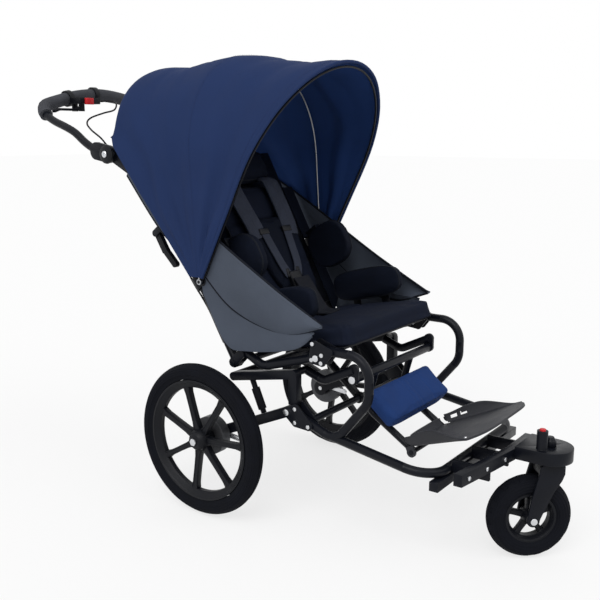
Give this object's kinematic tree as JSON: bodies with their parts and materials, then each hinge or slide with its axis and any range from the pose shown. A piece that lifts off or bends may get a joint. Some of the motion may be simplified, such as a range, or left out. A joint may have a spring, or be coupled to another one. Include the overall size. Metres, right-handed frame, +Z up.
{
  "type": "special needs buggy",
  "caption": "Three-wheeled special needs pushchair with a tilting, reclining padded seat, folding hood, leg rest, footplate, sprung rear wheels, swivel caster and adjustable push handle.",
  "frame": {"origin": "on the floor, midway along the buggy's length and width", "axes": "+X forwards to the caster, +Y to the child's left, +Z up"},
  "size_m": [1.564, 0.679, 1.172],
  "materials": {
    "tyre_rubber": "matte black rubber, moulded tread",
    "wheel_plastic": "satin black moulded nylon",
    "bright_steel": "zinc plated",
    "frame_paint": "satin black powder coat",
    "drum_metal": "dark grey drum cover",
    "strut_rubber": "matte black",
    "red_plastic": "red moulded",
    "seat_fabric": "black woven polyester",
    "gas_paint": "black",
    "rod_chrome": "polished",
    "calf_fabric": "royal blue vinyl-backed cloth",
    "foot_plastic": "dark grey grained",
    "strap_webbing": "grey webbing",
    "panel_fabric": "slate grey polyester",
    "black_plastic": "black moulded",
    "hood_fabric": "navy blue coated polyester",
    "bow_steel": "grey coated spring rod",
    "grip_foam": "black foam",
    "cable_jacket": "black cable outer"
  },
  "bodies": {
    "chassis": {"side_hoops": "frame_paint", "frame_plates": "frame_paint", "lower_frame": "frame_paint", "rear_arms": "frame_paint", "cross_tubes": "frame_paint", "legrest_rails": "frame_paint", "caster_beam": "frame_paint", "caster_nose": "frame_paint", "frame_bolts": "bright_steel", "strut_right": "strut_rubber", "strut_left": "strut_rubber"},
    "arm_right": {"swing_arm_right": "frame_paint", "axle_right": "bright_steel", "drum_brake_right": "drum_metal"},
    "arm_left": {"swing_arm_left": "frame_paint", "axle_left": "bright_steel", "drum_brake_left": "drum_metal"},
    "cam_right": {"brake_arm_right": "bright_steel"},
    "cam_left": {"brake_arm_left": "bright_steel"},
    "wheel_right": {"tyre_right": "tyre_rubber", "rim_right": "wheel_plastic"},
    "wheel_left": {"tyre_left": "tyre_rubber", "rim_left": "wheel_plastic"},
    "caster": {"caster_fork": "frame_paint", "caster_axle": "bright_steel"},
    "caster_wheel": {"caster_tyre": "tyre_rubber", "caster_rim": "wheel_plastic"},
    "swivel_lock": {"lock_button": "red_plastic"},
    "seat": {"seat_frame": "frame_paint", "seat_pan": "frame_paint", "seat_cushion": "seat_fabric", "thigh_pads": "seat_fabric"},
    "gas_lower": {"gas_cylinder": "gas_paint"},
    "gas_upper": {"gas_rod": "rod_chrome"},
    "legrest": {"legrest_frame": "frame_paint", "calf_pad": "calf_fabric"},
    "foot": {"footplate": "foot_plastic"},
    "back": {"back_frame": "frame_paint", "back_board": "black_plastic", "back_cushion": "seat_fabric", "headrest": "seat_fabric", "lateral_pads": "seat_fabric", "shoulder_straps": "strap_webbing", "chest_harness": "seat_fabric", "side_panels": "panel_fabric", "canopy_clamps": "black_plastic", "canopy_rear": "hood_fabric", "canopy_back": "hood_fabric", "cable_back": "cable_jacket"},
    "hood_front": {"bow_front": "frame_paint", "canopy_front": "hood_fabric"},
    "hood_mid": {"bow_mid": "bow_steel"},
    "release_lever": {"recline_lever": "black_plastic"},
    "handle": {"handle_tube": "frame_paint", "handle_grip": "grip_foam", "lever_clamp": "black_plastic", "brake_cable": "cable_jacket"},
    "hand_brake": {"brake_lever": "black_plastic"},
    "park_lock": {"parking_catch": "red_plastic"}
  },
  "joints": [
    {"name": "suspension_right", "type": "hinge", "parent": "chassis", "child": "arm_right", "pos_m": [0.164, -0.235, 0.303], "axis": [0, 1, 0], "range_deg": [0, 8], "stiffness_Nm_per_rad": 200, "springref_deg": -17.19, "deforming": ["strut_right"]},
    {"name": "wheel_spin_right", "type": "hinge", "parent": "arm_right", "child": "wheel_right", "pos_m": [-0.068, -0.307, 0.2], "axis": [0, 1, 0], "continuous": true},
    {"name": "brake_cam_right", "type": "hinge", "parent": "arm_right", "child": "cam_right", "pos_m": [-0.03, -0.247, 0.203], "axis": [0, -1, 0], "range_deg": [0, 12]},
    {"name": "suspension_left", "type": "hinge", "parent": "chassis", "child": "arm_left", "pos_m": [0.164, 0.235, 0.303], "axis": [0, 1, 0], "range_deg": [0, 8], "stiffness_Nm_per_rad": 200, "springref_deg": -17.19, "deforming": ["strut_left"]},
    {"name": "wheel_spin_left", "type": "hinge", "parent": "arm_left", "child": "wheel_left", "pos_m": [-0.068, 0.307, 0.2], "axis": [0, 1, 0], "continuous": true},
    {"name": "brake_cam_left", "type": "hinge", "parent": "arm_left", "child": "cam_left", "pos_m": [-0.03, 0.247, 0.203], "axis": [0, -1, 0], "range_deg": [0, 12]},
    {"name": "caster_swivel", "type": "hinge", "parent": "chassis", "child": "caster", "pos_m": [0.729, 0, 0.24], "axis": [0, 0, 1], "continuous": true},
    {"name": "caster_spin", "type": "hinge", "parent": "caster", "child": "caster_wheel", "pos_m": [0.6973, -0.02755, 0.1], "axis": [-0.6561, 0.7547, 0], "continuous": true},
    {"name": "swivel_lock_push", "type": "slide", "parent": "chassis", "child": "swivel_lock", "axis": [0, 0, -1], "range_m": [0, 0.004], "stiffness_N_per_m": 400, "springref_m": -0.002},
    {"name": "seat_tilt", "type": "hinge", "parent": "chassis", "child": "seat", "pos_m": [0.25, 0, 0.452], "axis": [0, 1, 0], "range_deg": [0, 15]},
    {"name": "gas_swing", "type": "hinge", "parent": "chassis", "child": "gas_lower", "pos_m": [0.217, 0, 0.285], "axis": [0, 1, 0], "range_deg": [0, 10]},
    {"name": "gas_stroke", "type": "slide", "parent": "gas_lower", "child": "gas_upper", "axis": [-0.7685, 0, 0.6398], "range_m": [0, 0.04]},
    {"name": "legrest_raise", "type": "hinge", "parent": "chassis", "child": "legrest", "pos_m": [0.317, 0, 0.398], "axis": [0, -1, 0], "range_deg": [0, 25]},
    {"name": "footplate_flip", "type": "hinge", "parent": "legrest", "child": "foot", "pos_m": [0.428, 0, 0.213], "axis": [0, -1, 0], "range_deg": [0, 33]},
    {"name": "back_recline", "type": "hinge", "parent": "seat", "child": "back", "pos_m": [-0.006, 0, 0.4], "axis": [0, 1, 0], "range_deg": [-25, 15]},
    {"name": "hood_fold", "type": "hinge", "parent": "back", "child": "hood_front", "pos_m": [-0.096, 0, 0.6], "axis": [0, 1, 0], "range_deg": [-50, 0], "deforming": ["canopy_front", "canopy_rear"]},
    {"name": "hood_mid_fold", "type": "hinge", "parent": "back", "child": "hood_mid", "pos_m": [-0.096, 0, 0.6], "axis": [0, 1, 0], "range_deg": [-25, 0]},
    {"name": "recline_release", "type": "hinge", "parent": "back", "child": "release_lever", "pos_m": [-0.27266, -0.235, 0.70884], "axis": [0, -1, 0], "range_deg": [0, 6], "stiffness_Nm_per_rad": 2, "springref_deg": -11.46},
    {"name": "handle_angle", "type": "hinge", "parent": "back", "child": "handle", "pos_m": [-0.446, 0, 0.912], "axis": [0, 1, 0], "range_deg": [-45, 30]},
    {"name": "brake_squeeze", "type": "hinge", "parent": "handle", "child": "hand_brake", "pos_m": [-0.712, -0.118, 1.04], "axis": [-1, 0, 0], "range_deg": [0, 10], "stiffness_Nm_per_rad": 1, "springref_deg": -17.19},
    {"name": "parking_slide", "type": "slide", "parent": "handle", "child": "park_lock", "axis": [0, 1, 0], "range_m": [0, 0.006]}
  ],
  "couplings": [
    {"joint": "gas_swing", "follows": "seat_tilt", "ratio": 0.602},
    {"joint": "gas_stroke", "follows": "seat_tilt", "m_per_rad": 0.1435},
    {"joint": "hood_mid_fold", "follows": "hood_fold", "ratio": 0.5},
    {"joint": "brake_cam_right", "follows": "brake_squeeze", "ratio": 1.2},
    {"joint": "brake_cam_left", "follows": "brake_squeeze", "ratio": 1.2}
  ]
}
